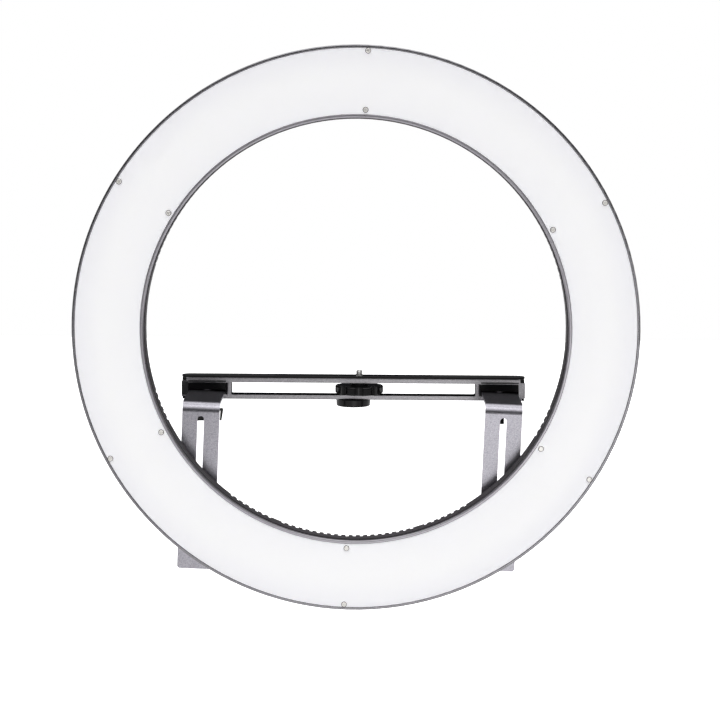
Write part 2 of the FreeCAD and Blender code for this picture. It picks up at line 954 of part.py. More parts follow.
def rocker():
    """Rocker with two faces, tilted to its off position, and its pivot pin."""
    half_w = switch_width / 2 - switch_frame - 1.0 - rocker_play
    half_h = switch_height / 2 - switch_frame - 1.0 - rocker_play - 0.5
    dip = half_h * math.tan(math.radians(rocker_tilt_deg))
    top = switch_flange + rocker_rise
    outline = [
        (-half_h, -rocker_thickness / 2, 1.0),
        (half_h, -rocker_thickness / 2, 1.0),
        (half_h, top + dip / 2, 0.5),
        (0, top - dip / 2, 0),
        (-half_h, top + dip / 2, 0.5),
    ]
    face = rounded_face([(v, u, r) for u, v, r in outline], side_view)
    face.translate(Vector(-half_w, 0, 0))
    body = face.extrude(Vector(2 * half_w, 0, 0))
    pin_half = half_w + rocker_play - 0.1
    pin = rod(rocker_pin_r, Vector(-pin_half, 0, 0), X_AXIS, 2 * pin_half)
    body = body.fuse(pin)
    body.rotate(ORIGIN, X_AXIS, -rocker_tilt_deg)
    body.translate(rocker_axis())
    return body


def power_inlet():
    """Round low voltage socket that faces down."""
    start = inlet_start()
    flange_disc = rod(inlet_flange_r, start - Z_AXIS * inlet_flange, Z_AXIS, inlet_flange)
    barrel = rod(inlet_r, start, Z_AXIS, inlet_length)
    mouth = start - Z_AXIS * inlet_flange
    shape = flange_disc.fuse(barrel)
    shape = shape.cut(rod(inlet_bore_r, mouth, Z_AXIS, inlet_bore_depth))
    return shape.fuse(rod(inlet_pin_r, mouth + Z_AXIS, Z_AXIS, inlet_bore_depth))


def power_board():
    half = housing_width / 2 - housing_wall - 1
    return box(
        -housing_x - half, -housing_x + half, board_face - circuit_board_thickness, board_face,
        power_board_bottom, power_board_top,
    )


def board_parts():
    """Coil and capacitors on the power board."""
    front = board_face - circuit_board_thickness
    x = -housing_x
    middle = (power_board_bottom + power_board_top) / 2
    half = coil_size / 2
    coil = box(x - half, x + half, front - coil_height, front, middle - half, middle + half)
    pieces = [coil]
    for side in (-1, 1):
        start = Vector(x + side * coil_size, front - capacitor_height, middle)
        pieces.append(rod(capacitor_r, start, Y_AXIS, capacitor_height))
    return Part.makeCompound(pieces)


def power_lead():
    """Lead inside the shell from the power housing, over the top, to the control housing."""
    depth = shell_back - shell_wall - lead_r
    radius = lead_circle_r()
    reach_deg = lead_quarter_turn_deg - math.degrees(lead_bend_r / radius)
    start = on_circle(radius, -reach_deg, depth)
    middle = on_circle(radius, 0, depth)
    end = on_circle(radius, reach_deg, depth)
    bend = lead_bend_r
    drop = Z_AXIS * bend
    left_end = Vector(start.x, depth + bend, start.z) - drop
    right_end = Vector(end.x, depth + bend, end.z) - drop
    corner = bend * (1 - math.sqrt(0.5))
    left_middle = Vector(start.x, depth + corner, start.z - bend * math.sqrt(0.5))
    right_middle = Vector(end.x, depth + corner, end.z - bend * math.sqrt(0.5))
    tail = Y_AXIS * (board_face - circuit_board_thickness - 0.3 - left_end.y)
    pieces = [
        Part.LineSegment(left_end + tail, left_end).toShape(),
        Part.Arc(left_end, left_middle, start).toShape(),
        Part.Arc(start, middle, end).toShape(),
        Part.Arc(end, right_middle, right_end).toShape(),
        Part.LineSegment(right_end, right_end + tail).toShape(),
    ]
    path = Part.Wire(pieces)
    ring = Part.Wire(Part.makeCircle(lead_r, left_end + tail, Y_AXIS))
    return path.makePipeShell([ring], True, False)


# Bracket bar and its fittings
def bar_section(x0, x1):
    """Stretch of the bar's outer form, solid."""
    edge = bar_edge_round
    half = bar_depth / 2
    outline = [
        (-half, bar_bottom, edge),
        (half, bar_bottom, edge),
        (half, bar_top, edge),
        (-half, bar_top, edge),
    ]
    face = rounded_face(outline, side_view)
    face.translate(Vector(x0, 0, 0))
    return face.extrude(Vector(x1 - x0, 0, 0))


def bar():
    half = bar_depth / 2
    inner_half = half - bar_wall
    shape = bar_section(-tube_half, tube_half)
    cuts = [box(-tube_half - 1, tube_half + 1, -inner_half, inner_half, floor_z, ceiling_z)]
    cuts.append(rounded_box(
        -window_half_length, window_half_length, sill_z, sill_z + window_height, window_round,
        -bar_depth, bar_depth,
    ))
    for side in (-1, 1):
        x = side * arm_x
        cuts.append(rounded_box(
            x - pocket_half, x + pocket_half, sill_z, pocket_top, window_round, -bar_depth, 0,
        ))
        cuts += pocket_trim(side)
        cuts.append(rod(clamp_screw_r + clamp_hole_play, Vector(x, 0, bar_bottom - 1), Z_AXIS, bar_wall + 2))
        for length, z0, z1 in corner_notches():
            ends = sorted((side * (tube_half + 1), side * (tube_half - length)))
            cuts.append(box(ends[0], ends[1], -half - 1, half + 1, z0, z1))
        screw_x = side * adapter_screw_spacing / 2
        cuts.append(adapter_screw(screw_x, screw_hole_play))
    cuts.append(slot_cutter(slot_width, slot_half_length, ceiling_z - 1, bar_top + 1))
    cuts.append(rod(insert_r + screw_hole_play, Vector(0, 0, bar_bottom - 1), Z_AXIS, bar_wall + 2))
    return shape.cut(cuts)


def pocket_trim(side):
    """Shallow groove over a pocket and a bevel on its inner edge, in the bar's front wall."""
    front = -bar_depth / 2
    groove_top = pocket_top + pocket_groove_drop + pocket_groove_height
    groove = box(
        side * arm_x - pocket_half, side * arm_x + pocket_half, front - 1, front + pocket_groove_depth,
        pocket_top + pocket_groove_drop, groove_top,
    )
    edge_x = side * (arm_x - pocket_half)
    corners = [
        Vector(edge_x, front - 1, sill_z),
        Vector(edge_x - side * pocket_bevel_width, front - 1, sill_z),
        Vector(edge_x - side * pocket_bevel_width, front, sill_z),
        Vector(edge_x, front + pocket_bevel_depth, sill_z),
        Vector(edge_x, front - 1, sill_z),
    ]
    bevel = Part.Face(Part.makePolygon(corners)).extrude(Z_AXIS * pocket_height)
    return [groove, bevel]


def corner_notches():
    """Lengths and heights of the notches that the end caps fill."""
    return (
        (bottom_notch_length, bar_bottom - 1, bar_bottom + bottom_notch_height),
        (top_notch_length, bar_top - top_notch_height, bar_top + 1),
    )


def slot_cutter(width, half_length, z0, z1):
    """Upright slot with round ends along the bar."""
    straight = box(-half_length, half_length, -width / 2, width / 2, z0, z1)
    ends = []
    for side in (-1, 1):
        ends.append(rod(width / 2, Vector(side * half_length, 0, z0), Z_AXIS, z1 - z0))
    return straight.fuse(ends)


def end_cap(side):
    """Plug with a pocket for the arm's flange and nut, and corners that fill the tube's notches."""
    half = bar_depth / 2
    inner_half = half - bar_wall - cap_fit
    plug_start = arm_x - pocket_half - cap_side
    cap_end = tube_half - cap_inset
    shape = box(plug_start, cap_end, -inner_half, inner_half, floor_z + cap_fit, ceiling_z - cap_fit)
    blocks = []
    for length, z0, z1 in corner_notches():
        section = bar_section(tube_half - length + cap_fit, cap_end)
        notch = box(0, tube_half, -half, half, z0 + cap_fit, z1 - cap_fit)
        blocks.append(section.common(notch))
    shape = shape.fuse(blocks).removeSplitter()
    cuts = [box(
        arm_x - pocket_half + 0.3, arm_x + pocket_half - 0.3, -half, inner_half - cap_back,
        cap_floor_top(), pocket_ceiling,
    )]
    nut_top = clamp_nut_bottom() + clamp_nut_height + clamp_nut_headroom
    cuts.append(hexagon(arm_x, clamp_nut_flats + 2 * clamp_nut_play, pocket_ceiling - 1, nut_top))
    hole_start = Vector(arm_x, 0, bar_bottom)
    hole_height = clamp_screw_top() + clamp_nut_headroom - bar_bottom
    cuts.append(rod(clamp_screw_r + clamp_hole_play, hole_start, Z_AXIS, hole_height))
    shape = shape.cut(cuts)
    return shape if side > 0 else mirrored(shape)


def cap_floor_top():
    return floor_z + cap_fit + cap_floor


def top_pad():
    """Rubber strip with round ends and a slot for the camera screw."""
    half = bar_depth / 2
    straight = bar_length / 2 - half
    shape = slot_cutter(bar_depth, straight, bar_top, bar_top + pad_thickness)
    slot = slot_cutter(
        slot_width + 2 * pad_slot_margin, slot_half_length, bar_top - 1, bar_top + pad_thickness + 1,
    )
    return shape.removeSplitter().cut(slot)


def adapter():
    outline = [
        (0, 0, 0),
        (adapter_r - 0.4, 0, adapter_round),
        (adapter_r, adapter_height, 0),
        (0, adapter_height, 0),
    ]
    cuts = [rod(insert_r, ORIGIN, Z_AXIS, adapter_height)]
    for side in (-1, 1):
        start = Vector(side * adapter_screw_spacing / 2, 0, adapter_screw_floor)
        cuts.append(rod(adapter_screw_r, start, Z_AXIS, adapter_height))
    return turned(outline).cut(cuts)


def adapter_insert():
    """Threaded metal insert that takes the stand's stud."""
    top = floor_z + insert_rise
    shape = rod(insert_r, ORIGIN, Z_AXIS, top)
    return shape.cut(rod(socket_r, ORIGIN, Z_AXIS, socket_depth))


def adapter_screw(x, grow):
    head = Part.makeCone(
        adapter_screw_r + grow, adapter_head_r + grow, adapter_head_height,
        Vector(x, 0, floor_z - adapter_head_height), Z_AXIS,
    )
    start = Vector(x, 0, adapter_screw_floor)
    length = floor_z - adapter_head_height - adapter_screw_floor
    return head.fuse(rod(adapter_screw_r + grow, start, Z_AXIS, length))


def adapter_screws():
    return Part.makeCompound([adapter_screw(side * adapter_screw_spacing / 2, 0) for side in (-1, 1)])


# Arms and their clamps
def arm(side):
    """Bent strip: a flange that lies in the bar and a long upright leg with a slot."""
    top = arm_thickness
    front = -arm_reach
    inner_r = arm_bend_r - arm_thickness
    outline = [
        (arm_tail, 0, 0),
        (arm_tail, top, 0.6),
        (front, top, arm_bend_r),
        (front, top - arm_length, 0),
        (front + arm_thickness, top - arm_length, 0),
        (front + arm_thickness, 0, inner_r),
    ]
    face = rounded_face(outline, side_view)
    half = arm_width / 2
    face.translate(Vector(-half, 0, 0))
    strip = face.extrude(Vector(arm_width, 0, 0))
    low = top - arm_length
    outline_box = rounded_box(-half, half, low, top + arm_bend_r, arm_corner_r, front - 1, arm_tail + 1)
    strip = strip.common(outline_box)
    slot_half = arm_slot_width / 2
    slot_top = top - arm_slot_top
    slot_low = low + arm_slot_bottom
    slot = rounded_box(
        -slot_half, slot_half, slot_low, slot_top, slot_half * 0.98, front - 1, front + arm_thickness + 1,
    )
    hole = rod(clamp_screw_r + clamp_flange_play, Vector(0, 0, -1), Z_AXIS, arm_thickness + 2)
    return to_arm(strip.cut([slot, hole]), side)


def flange_pads():
    """Rubber pads under the flanges, squeezed to the arms' lean."""
    half = flange_pad_length / 2
    pocket_back = bar_depth / 2 - bar_wall - cap_fit - cap_back
    pads = []
    for side in (-1, 1):
        x = side * arm_x
        block = box(
            x - half, x + half, -pocket_back + 0.3, pocket_back - 0.3, cap_floor_top(),
            flange_z + arm_thickness,
        )
        above = to_arm(box(-arm_width, arm_width, -arm_reach, arm_reach, 0, arm_reach), side)
        hole = rod(clamp_screw_r + clamp_hole_play, Vector(x, 0, bar_bottom), Z_AXIS, bar_height)
        pads.append(block.cut([above, hole]))
    return Part.makeCompound(pads)


def clamp_nut_bottom():
    corner = clamp_nut_flats / math.sqrt(3)
    return flange_z + (arm_thickness + corner * math.sin(lean)) / math.cos(lean)


def hexagon(x, flats, z0, z1):
    """Upright six-sided prism."""
    corner = flats / math.sqrt(3)
    points = []
    for index in range(7):
        angle = math.radians(60 * index)
        points.append(Vector(x + corner * math.cos(angle), corner * math.sin(angle), z0))
    return Part.Face(Part.makePolygon(points)).extrude(Z_AXIS * (z1 - z0))


def clamp_nuts():
    bottom = clamp_nut_bottom()
    nuts = []
    for side in (-1, 1):
        x = side * arm_x
        prism = hexagon(x, clamp_nut_flats, bottom, bottom + clamp_nut_height)
        bore = rod(clamp_screw_r + running_play, Vector(x, 0, bottom), Z_AXIS, clamp_nut_height)
        nuts.append(prism.cut(bore))
    return Part.makeCompound(nuts)


def clamp_screw_top():
    return clamp_nut_bottom() + clamp_nut_height + clamp_screw_tip


def clamp_screw(side):
    bottom = wing_top - wing_screw_bite
    return rod(clamp_screw_r, Vector(side * arm_x, 0, bottom), Z_AXIS, clamp_screw_top() - bottom)


def wing_knob(side):
    """Clamp knob: a neck, a cross plate on a thick core, and a thin leg at each end of the plate."""
    half = wing_span / 2
    foot_out = half - wing_leg_taper
    foot_in = foot_out - wing_leg_bottom
    bottom = wing_top - wing_height
    under = wing_top - wing_plate
    outline = [
        (-foot_out, bottom, 0.8),
        (-foot_in, bottom, 0.5),
        (-half + wing_leg_top, under, 0.3),
        (-wing_core_half, under, 0.3),
        (-wing_core_half, bottom, 0.8),
        (wing_core_half, bottom, 0.8),
        (wing_core_half, under, 0.3),
        (half - wing_leg_top, under, 0.3),
        (foot_in, bottom, 0.5),
        (foot_out, bottom, 0.8),
        (half, wing_top, 1.0),
        (-half, wing_top, 1.0),
    ]
    face = rounded_face(outline, front_view)
    face.translate(Vector(0, -wing_depth / 2, 0))
    shape = face.extrude(Vector(0, wing_depth, 0))
    shape = shape.fuse(rod(wing_hub_r, Vector(0, 0, under), Z_AXIS, bar_bottom - under))
    hole_bottom = wing_top - wing_screw_bite
    shape = shape.cut(rod(clamp_screw_r, Vector(0, 0, hole_bottom), Z_AXIS, bar_bottom - hole_bottom))
    turn = left_wing_turn_deg if side < 0 else right_wing_turn_deg
    shape.rotate(ORIGIN, Z_AXIS, turn)
    shape.translate(Vector(side * arm_x, 0, 0))
    return shape


# Camera screw
def star_knob():
    outline = [
        (0, 0, 0),
        (star_r, 0, star_round),
        (star_r, star_height, star_round),
        (0, star_height, 0),
    ]
    knob = turned(outline)
    cuts = scallops(star_lobes, star_r, star_scallop_r, star_scallop_out, Z_AXIS, star_height)
    cuts.append(rod(camera_neck_r, Vector(0, 0, star_screw_floor), Z_AXIS, star_height))
    knob = knob.cut(cuts)
    knob.rotate(ORIGIN, Z_AXIS, -90 + 180.0 / star_lobes)
    knob.translate(Vector(camera_screw_x, 0, star_bottom))
    return knob


def camera_screw():
    bottom = star_bottom + star_screw_floor
    top = bar_top + pad_thickness + camera_screw_rise
    outline = [
        (0, bottom, 0),
        (camera_neck_r, bottom, 0),
        (camera_neck_r, bar_top + pad_thickness, 0),
        (camera_screw_r, bar_top + pad_thickness, 0),
        (camera_screw_r, top, 0.6),
        (0, top, 0),
    ]
    return turned(outline, Vector(camera_screw_x, 0, 0))


def knob_washer():
    start = Vector(camera_screw_x, 0, star_top)
    disc = rod(washer_r, start, Z_AXIS, washer_height)
    return disc.cut(rod(camera_neck_r + bush_play, start, Z_AXIS, washer_height))


def slide_bush():
    start = Vector(camera_screw_x, 0, washer_top)
    height = ceiling_z - washer_top
    disc = rod(bush_r, start, Z_AXIS, height)
    return disc.cut(rod(camera_neck_r + bush_play, start, Z_AXIS, height))


def build():
    os.makedirs("parts", exist_ok=True)
    save("outer_rim", to_head(outer_rim()))
    save("inner_rim", to_head(inner_rim()))
    save("diffuser", to_head(diffuser()))
    save("outer_face_screws", to_head(face_screws(outer_screw_circle, ledge_back)))
    save("inner_face_screws", to_head(face_screws(inner_screw_circle, inner_rim_height)))
    save("rear_shell", to_head(rear_shell()))
    save("wall_rivet", to_head(wall_rivet()))
    save("led_board", to_head(led_board()))
    save("board_screws", to_head(board_screws()))
    save("leds", to_head(leds()))
    save("power_lead", to_head(power_lead()))
    save("clamp_blocks", to_head(clamp_blocks()))
    save("ring_washers", to_head(ring_washers()))
    save("control_housing", to_head(control_housing()))
    save("control_panel", to_head(control_panel()))
    save("control_board", to_head(control_board()))
    save("display_window", to_head(display_window()))
    save("display_module", to_head(display_module()))
    save("dial_pots", to_head(dial_pots()))
    save("dimmer_dial", to_head(dial(dimmer_z)))
    save("dimmer_shaft", to_head(dial_shaft(dimmer_z)))
    save("colour_dial", to_head(dial(colour_z)))
    save("colour_shaft", to_head(dial_shaft(colour_z)))
    save("key_switch", to_head(key_switch()))
    save("mode_button", to_head(mode_button()))
    save("power_housing", to_head(power_housing()))
    save("power_panel", to_head(power_panel()))
    save("power_board", to_head(power_board()))
    save("board_parts", to_head(board_parts()))
    save("switch_bezel", to_head(switch_bezel()))
    save("power_rocker", to_head(rocker()))
    save("power_inlet", to_head(power_inlet()))
    save("housing_screws", to_head(all_housing_screws()))
    save("bracket_bar", bar())
    save("top_pad", top_pad())
    save("stand_adapter", adapter())
    save("adapter_insert", adapter_insert())
    save("adapter_screws", adapter_screws())
    save("flange_pads", flange_pads())
    save("clamp_nuts", clamp_nuts())
    for side, word in ((-1, "left"), (1, "right")):
        save("end_cap_" + word, end_cap(side))
        save("arm_" + word, arm(side))
        save("arm_knob_" + word, wing_knob(side))
        save("arm_screw_" + word, clamp_screw(side))
        save("ring_knob_" + word, to_head(ring_clamp_knob(side)))
        save("ring_screw_" + word, to_head(ring_clamp_screw(side)))
    save("star_knob", star_knob())
    save("camera_screw", camera_screw())
    save("knob_washer", knob_washer())
    save("slide_bush", slide_bush())


build()
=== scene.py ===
import bpy
import json
import math
from mathutils import Matrix, Vector

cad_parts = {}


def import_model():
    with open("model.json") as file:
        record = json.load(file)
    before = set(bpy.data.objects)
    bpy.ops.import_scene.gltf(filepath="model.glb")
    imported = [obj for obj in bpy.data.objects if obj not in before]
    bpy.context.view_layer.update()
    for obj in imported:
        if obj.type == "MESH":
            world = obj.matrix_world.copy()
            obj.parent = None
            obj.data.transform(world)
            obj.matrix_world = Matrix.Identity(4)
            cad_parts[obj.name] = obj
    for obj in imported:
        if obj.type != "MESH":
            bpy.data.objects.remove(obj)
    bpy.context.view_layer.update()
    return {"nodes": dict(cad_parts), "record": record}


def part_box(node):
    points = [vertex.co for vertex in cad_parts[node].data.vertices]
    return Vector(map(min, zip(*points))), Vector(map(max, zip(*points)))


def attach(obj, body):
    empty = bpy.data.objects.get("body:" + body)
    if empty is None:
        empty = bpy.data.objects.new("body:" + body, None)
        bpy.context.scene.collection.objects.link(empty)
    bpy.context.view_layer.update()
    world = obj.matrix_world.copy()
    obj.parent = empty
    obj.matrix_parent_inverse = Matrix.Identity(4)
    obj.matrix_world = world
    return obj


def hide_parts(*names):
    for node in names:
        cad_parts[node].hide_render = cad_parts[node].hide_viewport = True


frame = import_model()
nodes = frame["nodes"]
scene = bpy.context.scene

# The ring stands on two arms that lean, so its centre is off the bar's middle. Metres.
LEAN = math.radians(2.1)
FLANGE_Z = 0.011
RING_RISE = 0.07035
RING_X = RING_RISE * math.tan(LEAN)
RING_Z = FLANGE_Z + RING_RISE
DIFFUSER_INNER = 0.190
DIFFUSER_OUTER = 0.2474

# Painted shade on the bar, in black: the skin over its inside, and the left end post beside the
# pocket
BAR_SKIN = 0.0004
POST_WIDTH = 0.0061
POST_HALF_HEIGHT = 0.0063

# Camera screw, 1/4 inch; the shares say how far along the pitch each corner of a turn lies
THREAD_PITCH = 0.00127
CREST_R = 0.003175
ROOT_R = 0.00252
CREST_START, CREST_END, ROOT_START = 0.42, 0.55, 0.97
NECK_R = 0.0028
THREAD_BOTTOM = 0.028
TIP_CHAMFER = 0.0005
RUN_OUT_END = 0.0006
RUN_OUT = 0.0009
AXIS_GAP = 0.0001
TURN_STEPS = 48

# Printed scales of the dials
TICK_COUNT = 11
TICK_FIRST_DEG = -135
TICK_STEP_DEG = 27
LONG_EVERY = 5
TICK_INNER = 0.0117
LONG_OUTER, LONG_HALF_WIDTH = 0.0142, 0.0003
SHORT_OUTER, SHORT_HALF_WIDTH = 0.0133, 0.0002
INK_LIFT = 0.00005

# Painted shade rings round the face screws' heads, in their seats; points nearer than HEAD_REACH
# belong to one screw
HEAD_STAND = 0.00145
HEAD_REACH = 0.012
SEAT_LAP = 0.0001
SEAT_RIM = 0.00052
SEAT_STEPS = 28

# Colour sockets of Blender's Mix node
MIX_FIRST = 6
MIX_SECOND = 7
MIX_RESULT = 2

# Camera fitted to the photograph
CAMERA_PLACE = (0.0137, -2.1094, 0.3108)
CAMERA_YAW = math.radians(-0.21)
CAMERA_PITCH = math.radians(-7.25)
CAMERA_ROLL = math.radians(0.40)
CAMERA_LENS = 114.6

# Studio
FLOOR_LEVEL = -1.0
FLOOR_REACH = 9.0
PART_MIDDLE = (0.0, -0.1, 0.05)


# Node helpers
def new_material(name):
    mat = bpy.data.materials.new(name)
    mat.use_nodes = True
    tree = mat.node_tree
    shader = tree.nodes["Principled BSDF"]
    return mat, tree, shader


def add(tree, kind, **values):
    node = tree.nodes.new(kind)
    for key, value in values.items():
        setattr(node, key, value)
    return node


def feed(tree, value, socket):
    """Set a socket to a number, or link another node's output to it."""
    if isinstance(value, float):
        socket.default_value = value
    else:
        tree.links.new(value, socket)


def coords(tree, output="Object"):
    return add(tree, "ShaderNodeTexCoord").outputs[output]


def noise(tree, vector, scale, detail=2.0, roughness=0.5, stretch=None):
    if stretch is not None:
        mapping = add(tree, "ShaderNodeMapping")
        mapping.inputs["Scale"].default_value = stretch
        tree.links.new(vector, mapping.inputs["Vector"])
        vector = mapping.outputs["Vector"]
    node = add(tree, "ShaderNodeTexNoise")
    node.inputs["Scale"].default_value = scale
    node.inputs["Detail"].default_value = detail
    node.inputs["Roughness"].default_value = roughness
    tree.links.new(vector, node.inputs["Vector"])
    return node.outputs["Fac"]


def cells(tree, vector, scale):
    node = add(tree, "ShaderNodeTexVoronoi")
    node.inputs["Scale"].default_value = scale
    tree.links.new(vector, node.inputs["Vector"])
    return node.outputs["Distance"]


def ramp(tree, fac, stops):
    node = add(tree, "ShaderNodeValToRGB")
    elements = node.color_ramp.elements
    while len(elements) < len(stops):
        elements.new(0.5)
    for element, (place, colour) in zip(elements, stops):
        element.position = place
        element.color = (*colour, 1.0)
    tree.links.new(fac, node.inputs["Fac"])
    return node.outputs["Color"]


def spread(tree, fac, low, high, start=0.0, end=1.0):
    """Map the range from start to end onto the range from low to high."""
    node = add(tree, "ShaderNodeMapRange")
    node.inputs["From Min"].default_value = start
    node.inputs["From Max"].default_value = end
    node.inputs["To Min"].default_value = low
    node.inputs["To Max"].default_value = high
    tree.links.new(fac, node.inputs["Value"])
    return node.outputs["Result"]


def mix_colours(tree, blend, factor, first, second):
    node = add(tree, "ShaderNodeMix", data_type="RGBA", blend_type=blend)
    feed(tree, factor, node.inputs["Factor"])
    tree.links.new(first, node.inputs[MIX_FIRST])
    tree.links.new(second, node.inputs[MIX_SECOND])
    return node.outputs[MIX_RESULT]


def math_node(tree, operation, first, second):
    node = add(tree, "ShaderNodeMath", operation=operation)
    tree.links.new(first, node.inputs[0])
    feed(tree, second, node.inputs[1])
    return node.outputs["Value"]


def distance(tree, vector):
    node = add(tree, "ShaderNodeVectorMath", operation="LENGTH")
    tree.links.new(vector, node.inputs[0])
    return node.outputs["Value"]


def paint(tree, shader, base, rough):
    tree.links.new(base, shader.inputs["Base Color"])
    feed(tree, rough, shader.inputs["Roughness"])


def bump(tree, shader, height, strength, depth):
    node = add(tree, "ShaderNodeBump")
    node.inputs["Strength"].default_value = strength
    node.inputs["Distance"].default_value = depth
    tree.links.new(height, node.inputs["Height"])
    tree.links.new(node.outputs["Normal"], shader.inputs["Normal"])


def shade(colour, factor):
    return tuple(min(1.0, c * factor) for c in colour)


# Materials
def moulded(name, colour, rough, grain=2600.0, depth=0.00003, strength=0.35, vary=0.25,
            coat=0.0, gloss=0.5):
    """Moulded plastic: fine grain, patchy gloss and a slight drift of colour."""
    mat, tree, shader = new_material(name)
    shader.inputs["Specular IOR Level"].default_value = gloss
    shader.inputs["Coat Weight"].default_value = coat
    shader.inputs["Coat Roughness"].default_value = 0.12
    where = coords(tree)
    broad = noise(tree, where, 38.0, 3.0)
    fine = noise(tree, where, grain, 3.0, 0.6)
    scuffs = noise(tree, where, 420.0, 5.0, 0.7)
    base = ramp(tree, broad, [(0.3, shade(colour, 1 - vary)), (0.7, shade(colour, 1 + vary))])
    paint(tree, shader, base, spread(tree, scuffs, rough * 0.72, min(1.0, rough * 1.28)))
    bump(tree, shader, fine, strength, depth)
    return mat


def metal(name, colour, rough, scale=900.0, vary=0.12, metallic=1.0, strength=0.2):
    """Plated or turned metal with fine marks."""
    mat, tree, shader = new_material(name)
    shader.inputs["Metallic"].default_value = metallic
    where = coords(tree)
    marks = noise(tree, where, scale, 4.0, 0.65)
    patches = noise(tree, where, 60.0, 3.0)
    base = ramp(tree, patches, [(0.25, shade(colour, 1 - vary)), (0.75, shade(colour, 1 + vary))])
    paint(tree, shader, base, spread(tree, marks, rough * 0.6, rough * 1.5))
    bump(tree, shader, marks, strength, 0.00002)
    return mat


def powder_coat(name, dark, light, rough, shade_mask=None):
    """Sandy powder coat: pebbled, with fine metallic specks; black painted shade where the given
    shade mask says so.
    """
    mat, tree, shader = new_material(name)
    where = coords(tree)
    pebbles = noise(tree, where, 900.0, 3.0, 0.62)
    specks = cells(tree, where, 1500.0)
    broad = noise(tree, where, 22.0, 2.0)
    body = ramp(tree, pebbles, [(0.32, dark), (0.68, light)])
    glints = ramp(tree, specks, [(0.0, shade(light, 1.5)), (0.22, light), (0.5, shade(dark, 0.9))])
    speckled = mix_colours(tree, "MIX", 0.45, body, glints)
    drift = ramp(tree, broad, [(0.3, (0.9, 0.9, 0.9)), (0.7, (1.0, 1.0, 1.0))])
    finish = mix_colours(tree, "MULTIPLY", 1.0, speckled, drift)
    shader.inputs["Metallic"].default_value = 1.0
    if shade_mask is not None:
        # Painted shade: black and not metallic where the mask is 1
        black = shade_mask(tree, where)
        painted_shade_black = ramp(tree, pebbles, [(0.3, (0.006, 0.006, 0.007)), (0.7, (0.012, 0.012, 0.013))])
        finish = mix_colours(tree, "MIX", black, finish, painted_shade_black)
        tree.links.new(spread(tree, black, 1.0, 0.0), shader.inputs["Metallic"])
    paint(tree, shader, finish, spread(tree, pebbles, rough - 0.05, rough + 0.07))
    bump(tree, shader, pebbles, 0.7, 0.00008)
    return mat


def bar_shade_mask(tree, where):
    """Mask of painted shade on the bar: 1 inside it, on the edges of its openings and on the left
    end post.
    """
    low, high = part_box("bracket_bar")
    axes = add(tree, "ShaderNodeSeparateXYZ")
    tree.links.new(where, axes.inputs["Vector"])
    lift = math_node(tree, "SUBTRACT", axes.outputs["Z"], (low.z + high.z) / 2)
    height = math_node(tree, "ABSOLUTE", lift, 0.0)
    depth = math_node(tree, "ABSOLUTE", axes.outputs["Y"], 0.0)
    between = math_node(tree, "LESS_THAN", height, (high.z - low.z) / 2 - BAR_SKIN)
    behind = math_node(tree, "LESS_THAN", depth, (high.y - low.y) / 2 - BAR_SKIN)
    inside = math_node(tree, "MULTIPLY", between, behind)
    at_end = math_node(tree, "LESS_THAN", axes.outputs["X"], low.x + POST_WIDTH)
    at_level = math_node(tree, "LESS_THAN", height, POST_HALF_HEIGHT)
    in_front = math_node(tree, "LESS_THAN", axes.outputs["Y"], 0.0)
    end_post = math_node(tree, "MULTIPLY", at_end, at_level)
    return math_node(tree, "MAXIMUM", inside, math_node(tree, "MULTIPLY", end_post, in_front))


def rubber(name, colour):
    """Dull rubber with a little dust."""
    mat, tree, shader = new_material(name)
    shader.inputs["Specular IOR Level"].default_value = 0.25
    where = coords(tree)
    fine = noise(tree, where, 1900.0, 4.0, 0.7)
    dust = noise(tree, where, 90.0, 5.0, 0.75)
    base = ramp(tree, dust, [(0.35, colour), (0.75, shade(colour, 1.9))])
    paint(tree, shader, base, spread(tree, dust, 0.68, 0.9))
    bump(tree, shader, fine, 0.5, 0.00006)
    return mat


def diffuser_material():
    """Milky acrylic that glows, with painted shade a little darker and bluer towards both edges,
    and a fine frosted front.
    """
    mat, tree, shader = new_material("milky_diffuser")
    where = coords(tree)
    fine = noise(tree, where, 3200.0)
    flat = add(tree, "ShaderNodeMapping")
    flat.inputs["Location"].default_value = (-RING_X, 0.0, -RING_Z)
    flat.inputs["Scale"].default_value = (1.0, 0.0, 1.0)
    tree.links.new(where, flat.inputs["Vector"])
    reach = distance(tree, flat.outputs["Vector"])
    across = spread(tree, reach, 0.0, 1.0, DIFFUSER_INNER, DIFFUSER_OUTER)
    # Painted shade: darker and bluer towards the inner and outer edges
    base = ramp(tree, across, [
        (0.0, (0.82, 0.825, 0.86)),
        (0.16, (0.88, 0.88, 0.895)),
        (0.6, (0.9, 0.9, 0.905)),
        (1.0, (0.8, 0.8, 0.84)),
    ])
    paint(tree, shader, base, spread(tree, fine, 0.42, 0.56))
    shader.inputs["Subsurface Weight"].default_value = 0.25
    shader.inputs["Subsurface Radius"].default_value = (0.004, 0.004, 0.0045)
    shader.inputs["Subsurface Scale"].default_value = 0.5
    shader.inputs["Emission Color"].default_value = (1.0, 0.99, 0.985, 1.0)
    shader.inputs["Emission Strength"].default_value = 0.29
    bump(tree, shader, fine, 0.12, 0.00002)
    return mat


def circuit_material():
    """Green circuit board with faint tracks."""
    mat, tree, shader = new_material("green_circuit")
    where = coords(tree)
    weave = cells(tree, where, 700.0)
    tracks = noise(tree, where, 260.0, 1.0, 0.3, (1.0, 1.0, 5.0))
    base = ramp(tree, tracks, [(0.45, (0.02, 0.13, 0.05)), (0.52, (0.05, 0.24, 0.10))])
    paint(tree, shader, base, spread(tree, weave, 0.28, 0.5))
    bump(tree, shader, tracks, 0.3, 0.00003)
    return mat


